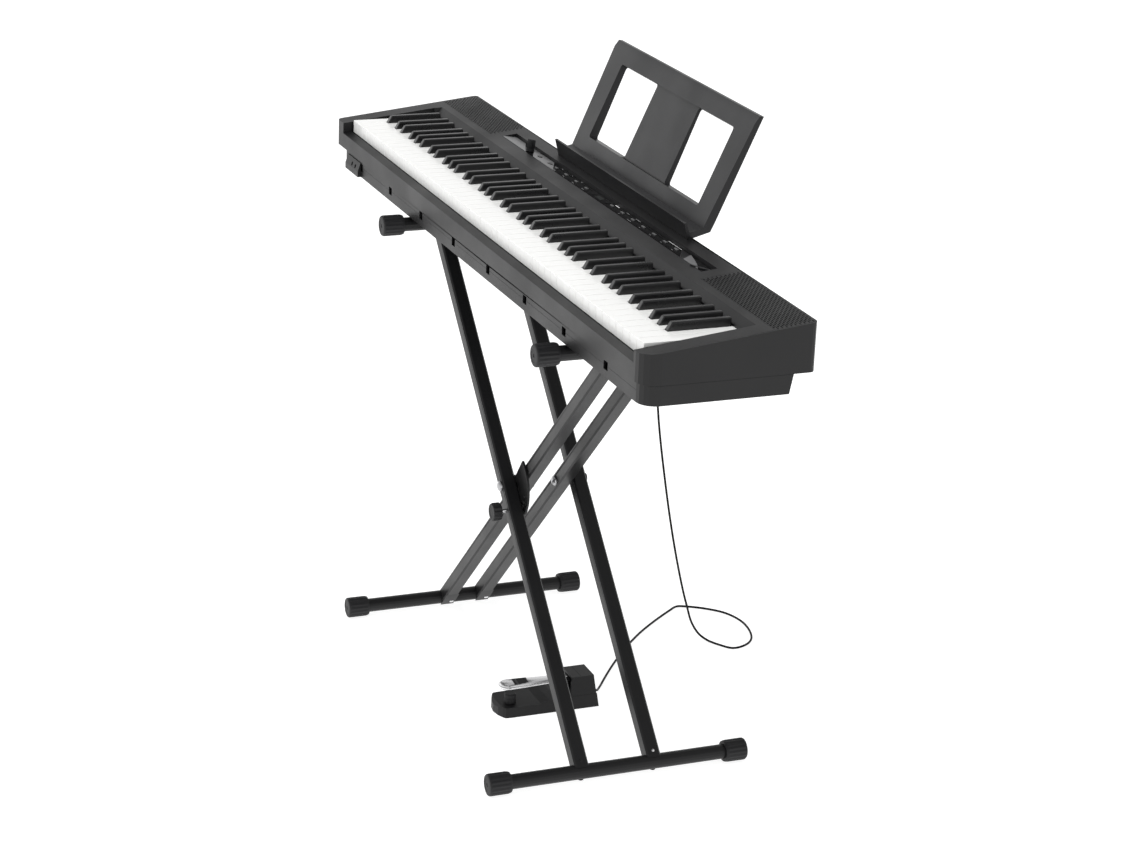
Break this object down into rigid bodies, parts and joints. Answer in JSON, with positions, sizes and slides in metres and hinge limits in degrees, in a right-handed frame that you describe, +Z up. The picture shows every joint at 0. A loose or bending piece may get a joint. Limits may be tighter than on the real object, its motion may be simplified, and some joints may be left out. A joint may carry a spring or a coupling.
{
  "type": "digital piano on stand",
  "caption": "Slim digital piano with slotted music rest, resting on a folding crossed-leg stand, with a corded sustain pedal on the floor.",
  "frame": {"origin": "on the floor, under the middle of the object without its pedal cord and plug", "axes": "+X along the keyboard from bass to treble, +Y from the player towards the back, +Z up"},
  "size_m": [1.2974, 0.6163, 0.9449],
  "materials": {
    "case_black": "fine satin grain",
    "panel_gloss": "gloss",
    "key_white": "satin gloss",
    "key_black": "satin",
    "stand_paint": "satin powder coat",
    "cap_rubber": "matt",
    "bright_steel": "bright plated",
    "rest_grey": "satin",
    "button_grey": "satin",
    "screen": "clear gloss",
    "board_green": "solder mask",
    "speaker_grey": "matt"
  },
  "bodies": {
    "leg_set_a": {"a_tube_front": "stand_paint", "a_tube_rear": "stand_paint", "treble_foot": "stand_paint", "bass_arm": "stand_paint", "treble_foot_cap_front": "cap_rubber", "treble_foot_cap_rear": "cap_rubber", "bass_arm_cap_front": "cap_rubber", "bass_arm_cap_rear": "cap_rubber", "pivot_bolt_front": "bright_steel", "pivot_bolt_rear": "bright_steel"},
    "leg_set_b": {"b_tube_front": "stand_paint", "b_tube_rear": "stand_paint", "bass_foot": "stand_paint", "treble_arm": "stand_paint", "bass_foot_cap_front": "cap_rubber", "bass_foot_cap_rear": "cap_rubber", "treble_arm_cap_front": "cap_rubber", "treble_arm_cap_rear": "cap_rubber", "lock_plate": "stand_paint"},
    "lock_knob": {"lock_knob": "cap_rubber"},
    "instrument": {"top_case": "case_black", "lower_case": "case_black", "key_bed": "rest_grey", "control_panel": "panel_gloss", "lcd_display": "screen", "grille_left": "case_black", "grille_right": "case_black", "speaker_left": "speaker_grey", "speaker_right": "speaker_grey", "main_board": "board_green", "pedal_jack": "case_black", "headphone_jacks": "case_black", "pedal_plug": "cap_rubber", "pedal_cord": "cap_rubber", "pedal_base": "case_black", "pedal_housing": "case_black", "pedal_stop": "cap_rubber"},
    "volume_knob": {"volume_knob": "case_black"},
    "power_button": {"power_button": "case_black"},
    "function_button": {"function_button": "case_black"},
    "button_bank_left": {"button_bank_left": "button_grey"},
    "button_bank_right": {"button_bank_right": "button_grey"},
    "music_rest": {"music_rest": "rest_grey"},
    "pedal_lever": {"pedal_lever": "bright_steel"},
    "natural_keys_1": {"natural_keys_1": "key_white"},
    "natural_keys_2": {"natural_keys_2": "key_white"},
    "natural_keys_3": {"natural_keys_3": "key_white"},
    "natural_keys_4": {"natural_keys_4": "key_white"},
    "natural_keys_5": {"natural_keys_5": "key_white"},
    "natural_keys_6": {"natural_keys_6": "key_white"},
    "natural_keys_7": {"natural_keys_7": "key_white"},
    "sharp_keys_1": {"sharp_keys_1": "key_black"},
    "sharp_keys_2": {"sharp_keys_2": "key_black"},
    "sharp_keys_3": {"sharp_keys_3": "key_black"},
    "sharp_keys_4": {"sharp_keys_4": "key_black"},
    "sharp_keys_5": {"sharp_keys_5": "key_black"},
    "sharp_keys_6": {"sharp_keys_6": "key_black"},
    "sharp_keys_7": {"sharp_keys_7": "key_black"}
  },
  "joints": [
    {"name": "instrument_lift_off", "type": "slide", "parent": "leg_set_a", "child": "instrument", "axis": [0, 0.7682, 0.6402], "range_m": [0, 0.834]},
    {"name": "stand_fold", "type": "hinge", "parent": "leg_set_a", "child": "leg_set_b", "pos_m": [0.0369, -0.019, 0.33725], "axis": [0, -1, 0], "range_deg": [0, 85]},
    {"name": "lock_knob_pull", "type": "slide", "parent": "leg_set_a", "child": "lock_knob", "axis": [0, -1, 0], "range_m": [0, 0.01], "stiffness_N_per_m": 300, "springref_m": -0.003},
    {"name": "volume_turn", "type": "hinge", "parent": "instrument", "child": "volume_knob", "pos_m": [-0.296, 0.07868, 0.7635], "axis": [0, 0.1507, 0.9886], "range_deg": [-135, 135]},
    {"name": "power_press", "type": "slide", "parent": "instrument", "child": "power_button", "axis": [0, -0.1507, -0.9886], "range_m": [0, 0.001], "stiffness_N_per_m": 300, "springref_m": -0.001},
    {"name": "function_press", "type": "slide", "parent": "instrument", "child": "function_button", "axis": [0, -0.1507, -0.9886], "range_m": [0, 0.001], "stiffness_N_per_m": 300, "springref_m": -0.001},
    {"name": "left_buttons_press", "type": "slide", "parent": "instrument", "child": "button_bank_left", "axis": [0, -0.1507, -0.9886], "range_m": [0, 0.0008], "stiffness_N_per_m": 500, "springref_m": -0.001},
    {"name": "right_buttons_press", "type": "slide", "parent": "instrument", "child": "button_bank_right", "axis": [0, -0.1507, -0.9886], "range_m": [0, 0.0008], "stiffness_N_per_m": 500, "springref_m": -0.001},
    {"name": "music_rest_lift", "type": "slide", "parent": "instrument", "child": "music_rest", "axis": [0, 0.4106, 0.9118], "range_m": [0, 0.03]},
    {"name": "pedal_press", "type": "hinge", "parent": "instrument", "child": "pedal_lever", "pos_m": [0.11855, 0.028, 0.045], "axis": [1, 0, 0], "range_deg": [0, 4], "stiffness_Nm_per_rad": 8, "springref_deg": -3.44},
    {"name": "natural_press_1", "type": "hinge", "parent": "instrument", "child": "natural_keys_1", "pos_m": [0, 0.046, 0.738], "axis": [1, 0, 0], "range_deg": [0, 3.6], "stiffness_Nm_per_rad": 6, "springref_deg": -6.88},
    {"name": "natural_press_2", "type": "hinge", "parent": "instrument", "child": "natural_keys_2", "pos_m": [0, 0.046, 0.738], "axis": [1, 0, 0], "range_deg": [0, 3.6], "stiffness_Nm_per_rad": 6, "springref_deg": -6.88},
    {"name": "natural_press_3", "type": "hinge", "parent": "instrument", "child": "natural_keys_3", "pos_m": [0, 0.046, 0.738], "axis": [1, 0, 0], "range_deg": [0, 3.6], "stiffness_Nm_per_rad": 6, "springref_deg": -6.88},
    {"name": "natural_press_4", "type": "hinge", "parent": "instrument", "child": "natural_keys_4", "pos_m": [0, 0.046, 0.738], "axis": [1, 0, 0], "range_deg": [0, 3.6], "stiffness_Nm_per_rad": 6, "springref_deg": -6.88},
    {"name": "natural_press_5", "type": "hinge", "parent": "instrument", "child": "natural_keys_5", "pos_m": [0, 0.046, 0.738], "axis": [1, 0, 0], "range_deg": [0, 3.6], "stiffness_Nm_per_rad": 6, "springref_deg": -6.88},
    {"name": "natural_press_6", "type": "hinge", "parent": "instrument", "child": "natural_keys_6", "pos_m": [0, 0.046, 0.738], "axis": [1, 0, 0], "range_deg": [0, 3.6], "stiffness_Nm_per_rad": 6, "springref_deg": -6.88},
    {"name": "natural_press_7", "type": "hinge", "parent": "instrument", "child": "natural_keys_7", "pos_m": [0, 0.046, 0.738], "axis": [1, 0, 0], "range_deg": [0, 3.6], "stiffness_Nm_per_rad": 6, "springref_deg": -6.88},
    {"name": "sharp_press_1", "type": "hinge", "parent": "instrument", "child": "sharp_keys_1", "pos_m": [0, 0.046, 0.738], "axis": [1, 0, 0], "range_deg": [0, 4.2], "stiffness_Nm_per_rad": 4, "springref_deg": -6.88},
    {"name": "sharp_press_2", "type": "hinge", "parent": "instrument", "child": "sharp_keys_2", "pos_m": [0, 0.046, 0.738], "axis": [1, 0, 0], "range_deg": [0, 4.2], "stiffness_Nm_per_rad": 4, "springref_deg": -6.88},
    {"name": "sharp_press_3", "type": "hinge", "parent": "instrument", "child": "sharp_keys_3", "pos_m": [0, 0.046, 0.738], "axis": [1, 0, 0], "range_deg": [0, 4.2], "stiffness_Nm_per_rad": 4, "springref_deg": -6.88},
    {"name": "sharp_press_4", "type": "hinge", "parent": "instrument", "child": "sharp_keys_4", "pos_m": [0, 0.046, 0.738], "axis": [1, 0, 0], "range_deg": [0, 4.2], "stiffness_Nm_per_rad": 4, "springref_deg": -6.88},
    {"name": "sharp_press_5", "type": "hinge", "parent": "instrument", "child": "sharp_keys_5", "pos_m": [0, 0.046, 0.738], "axis": [1, 0, 0], "range_deg": [0, 4.2], "stiffness_Nm_per_rad": 4, "springref_deg": -6.88},
    {"name": "sharp_press_6", "type": "hinge", "parent": "instrument", "child": "sharp_keys_6", "pos_m": [0, 0.046, 0.738], "axis": [1, 0, 0], "range_deg": [0, 4.2], "stiffness_Nm_per_rad": 4, "springref_deg": -6.88},
    {"name": "sharp_press_7", "type": "hinge", "parent": "instrument", "child": "sharp_keys_7", "pos_m": [0, 0.046, 0.738], "axis": [1, 0, 0], "range_deg": [0, 4.2], "stiffness_Nm_per_rad": 4, "springref_deg": -6.88}
  ],
  "couplings": [
    {"joint": "stand_fold", "follows": "instrument_lift_off", "rad_per_m": 1.7778}
  ]
}
